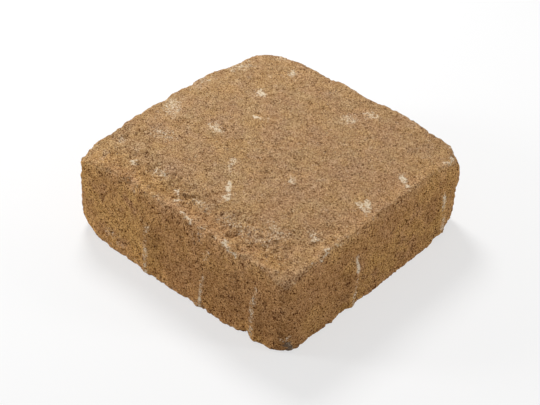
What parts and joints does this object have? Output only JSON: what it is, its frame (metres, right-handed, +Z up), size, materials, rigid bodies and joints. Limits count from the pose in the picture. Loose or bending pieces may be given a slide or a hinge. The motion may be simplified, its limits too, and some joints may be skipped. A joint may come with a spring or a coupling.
{
  "type": "concrete paver",
  "caption": "Square cast concrete paver with a flat worn top, wavy sides, rounded corners and low spacer nibs.",
  "frame": {"origin": "middle of the bed face, halfway between opposite nib crests", "axes": "+Z up out of the walked-on top, +X to the right side, -Y to the front side with three nibs"},
  "size_m": [0.1834, 0.1848, 0.06],
  "materials": {
    "sandy_concrete": "rough cast, tan to ochre brown with a pale lime haze and sand speckle"
  },
  "bodies": {
    "root": {"concrete_paver": "sandy_concrete"}
  },
  "joints": []
}
